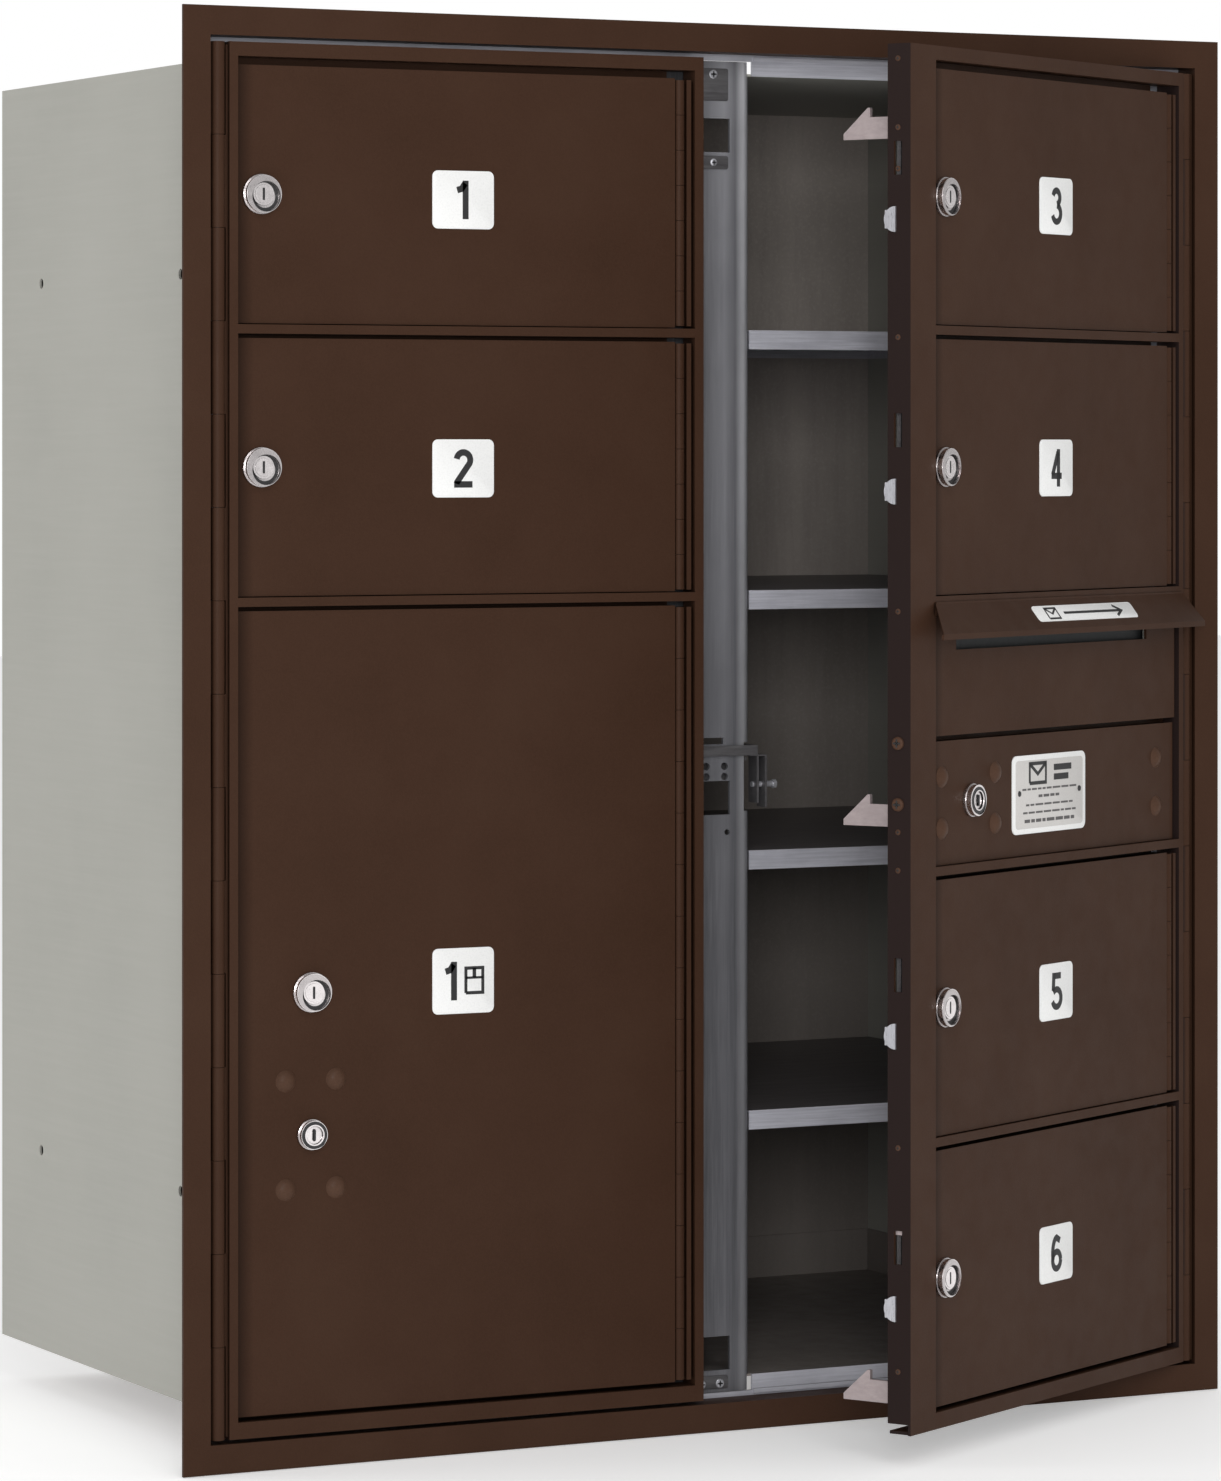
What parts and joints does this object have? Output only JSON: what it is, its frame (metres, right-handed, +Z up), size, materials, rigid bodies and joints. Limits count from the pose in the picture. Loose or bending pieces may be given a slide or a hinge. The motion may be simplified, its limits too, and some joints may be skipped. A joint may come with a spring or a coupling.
{
  "type": "recess-mounted cluster mailbox unit",
  "caption": "Wall-recessed front-loading mailbox unit: two hinged master doors carry locked compartment doors in front of a shelved sheet-metal box.",
  "frame": {"origin": "on the wall's face at mid-width of the wall opening, at the sill the box stands on", "axes": "+X to the right seen from the front, +Y into the wall, +Z up"},
  "size_m": [0.7906, 0.6255, 0.9526],
  "materials": {
    "galvanised_box": "matt galvanised sheet, clear-coated",
    "bronze_paint": "dark bronze powder coat, fine satin texture",
    "bare_aluminium": "mill-finish extrusion",
    "dull_sheet": "dull unpainted sheet",
    "plated_steel": "zinc-plated",
    "lock_chrome": "satin chrome",
    "black_rubber": "matt black"
  },
  "bodies": {
    "cabinet": {"side_panel_left": "galvanised_box", "side_panel_right": "galvanised_box", "top_panel": "galvanised_box", "bottom_pan": "dull_sheet", "back_panel": "dull_sheet", "front_frame": "bare_aluminium", "trim_top": "bronze_paint", "trim_bottom": "bronze_paint", "trim_left": "bronze_paint", "trim_right": "bronze_paint", "centre_post": "bare_aluminium", "strike_plates": "bare_aluminium", "centre_partition": "dull_sheet", "left_shelves": "bare_aluminium", "right_shelves": "bare_aluminium", "cabinet_hinge_leaves": "bronze_paint", "cabinet_hinge_pins": "dull_sheet"},
    "lever": {"release_lever": "dull_sheet", "lever_pin": "plated_steel"},
    "left_master_door": {"left_door_frame": "bronze_paint", "left_compartment_hinges": "bronze_paint", "left_door_striker": "plated_steel"},
    "compartment_1_door": {"door_1": "bronze_paint", "lock_1_body": "lock_chrome"},
    "compartment_2_door": {"door_2": "bronze_paint", "lock_2_body": "lock_chrome"},
    "parcel_compartment_door": {"parcel_door": "bronze_paint", "parcel_lock_body": "lock_chrome", "carrier_lock_body": "lock_chrome", "parcel_lock_bolts": "bronze_paint", "parcel_lock_plate": "plated_steel"},
    "right_master_door": {"right_door_frame": "bronze_paint", "right_compartment_hinges": "bronze_paint", "outgoing_panel": "bronze_paint", "outgoing_hood": "bronze_paint", "lock_panel": "bronze_paint", "lock_panel_bolts": "bronze_paint", "master_lock_body": "lock_chrome", "latch_guides": "plated_steel", "lock_keepers": "plated_steel"},
    "latch": {"latch_bar": "dull_sheet", "latch_hooks": "plated_steel"},
    "flap": {"outgoing_flap": "black_rubber"},
    "compartment_3_door": {"door_3": "bronze_paint", "lock_3_body": "lock_chrome"},
    "compartment_4_door": {"door_4": "bronze_paint", "lock_4_body": "lock_chrome"},
    "compartment_5_door": {"door_5": "bronze_paint", "lock_5_body": "lock_chrome"},
    "compartment_6_door": {"door_6": "bronze_paint", "lock_6_body": "lock_chrome"},
    "plug_1": {"lock_1_plug": "lock_chrome"},
    "plug_2": {"lock_2_plug": "lock_chrome"},
    "plug_3": {"lock_3_plug": "lock_chrome"},
    "plug_4": {"lock_4_plug": "lock_chrome"},
    "plug_5": {"lock_5_plug": "lock_chrome"},
    "plug_6": {"lock_6_plug": "lock_chrome"},
    "parcel_plug": {"parcel_lock_plug": "lock_chrome"},
    "carrier_plug": {"carrier_lock_plug": "lock_chrome"},
    "master_plug": {"master_lock_plug": "lock_chrome"}
  },
  "joints": [
    {"name": "left_master_door_hinge", "type": "hinge", "parent": "cabinet", "child": "left_master_door", "pos_m": [-0.3695, 0.0025, 0.44], "axis": [0, 0, -1], "range_deg": [0, 100]},
    {"name": "right_master_door_hinge", "type": "hinge", "parent": "cabinet", "child": "right_master_door", "pos_m": [0.3695, 0.0025, 0.44], "axis": [0, 0, 1], "range_deg": [-29.4, 60.6]},
    {"name": "door_1_hinge", "type": "hinge", "parent": "left_master_door", "child": "compartment_1_door", "pos_m": [-0.0313, 0.0035, 0.8], "axis": [0, 0, 1], "range_deg": [0, 88]},
    {"name": "door_2_hinge", "type": "hinge", "parent": "left_master_door", "child": "compartment_2_door", "pos_m": [-0.0313, 0.0035, 0.622], "axis": [0, 0, 1], "range_deg": [0, 88]},
    {"name": "parcel_door_hinge", "type": "hinge", "parent": "left_master_door", "child": "parcel_compartment_door", "pos_m": [-0.0313, 0.0035, 0.266], "axis": [0, 0, 1], "range_deg": [0, 88]},
    {"name": "door_3_hinge", "type": "hinge", "parent": "right_master_door", "child": "compartment_3_door", "pos_m": [0.34862, -0.00812, 0.8], "axis": [0, 0, 1], "range_deg": [0, 88]},
    {"name": "door_4_hinge", "type": "hinge", "parent": "right_master_door", "child": "compartment_4_door", "pos_m": [0.34862, -0.00812, 0.622], "axis": [0, 0, 1], "range_deg": [0, 88]},
    {"name": "door_5_hinge", "type": "hinge", "parent": "right_master_door", "child": "compartment_5_door", "pos_m": [0.34862, -0.00812, 0.266], "axis": [0, 0, 1], "range_deg": [0, 88]},
    {"name": "door_6_hinge", "type": "hinge", "parent": "right_master_door", "child": "compartment_6_door", "pos_m": [0.34862, -0.00812, 0.089], "axis": [0, 0, 1], "range_deg": [0, 88]},
    {"name": "lock_1_turn", "type": "hinge", "parent": "compartment_1_door", "child": "plug_1", "pos_m": [-0.3397, 0, 0.799], "axis": [0, 1, 0], "range_deg": [0, 90]},
    {"name": "lock_2_turn", "type": "hinge", "parent": "compartment_2_door", "child": "plug_2", "pos_m": [-0.3397, 0, 0.6212], "axis": [0, 1, 0], "range_deg": [0, 90]},
    {"name": "lock_3_turn", "type": "hinge", "parent": "compartment_3_door", "child": "plug_3", "pos_m": [0.07835, -0.16442, 0.799], "axis": [-0.4909, 0.8712, 0], "range_deg": [0, 90]},
    {"name": "lock_4_turn", "type": "hinge", "parent": "compartment_4_door", "child": "plug_4", "pos_m": [0.07835, -0.16442, 0.6212], "axis": [-0.4909, 0.8712, 0], "range_deg": [0, 90]},
    {"name": "lock_5_turn", "type": "hinge", "parent": "compartment_5_door", "child": "plug_5", "pos_m": [0.07835, -0.16442, 0.2656], "axis": [-0.4909, 0.8712, 0], "range_deg": [0, 90]},
    {"name": "lock_6_turn", "type": "hinge", "parent": "compartment_6_door", "child": "plug_6", "pos_m": [0.07835, -0.16442, 0.0878], "axis": [-0.4909, 0.8712, 0], "range_deg": [0, 90]},
    {"name": "parcel_lock_turn", "type": "hinge", "parent": "parcel_compartment_door", "child": "parcel_plug", "pos_m": [-0.304, 0, 0.278], "axis": [0, 1, 0], "range_deg": [0, 90]},
    {"name": "carrier_lock_turn", "type": "hinge", "parent": "parcel_compartment_door", "child": "carrier_plug", "pos_m": [-0.304, 0, 0.185], "axis": [0, 1, 0], "range_deg": [0, 90]},
    {"name": "master_lock_turn", "type": "hinge", "parent": "right_master_door", "child": "master_plug", "pos_m": [0.11154, -0.14572, 0.40005], "axis": [-0.4909, 0.8712, 0], "range_deg": [0, 90]},
    {"name": "latch_bar_slide", "type": "slide", "parent": "right_master_door", "child": "latch", "axis": [0, 0, 1], "range_m": [0, 0.007]},
    {"name": "outgoing_flap_hinge", "type": "hinge", "parent": "right_master_door", "child": "flap", "pos_m": [0.20307, -0.08611, 0.5205], "axis": [0.8712, 0.4909, 0], "range_deg": [0, 60]},
    {"name": "release_lever_slide", "type": "slide", "parent": "cabinet", "child": "lever", "axis": [1, 0, 0], "range_m": [-0.006, 0]}
  ],
  "couplings": [
    {"joint": "master_lock_turn", "follows": "latch_bar_slide", "rad_per_m": 224.4}
  ]
}
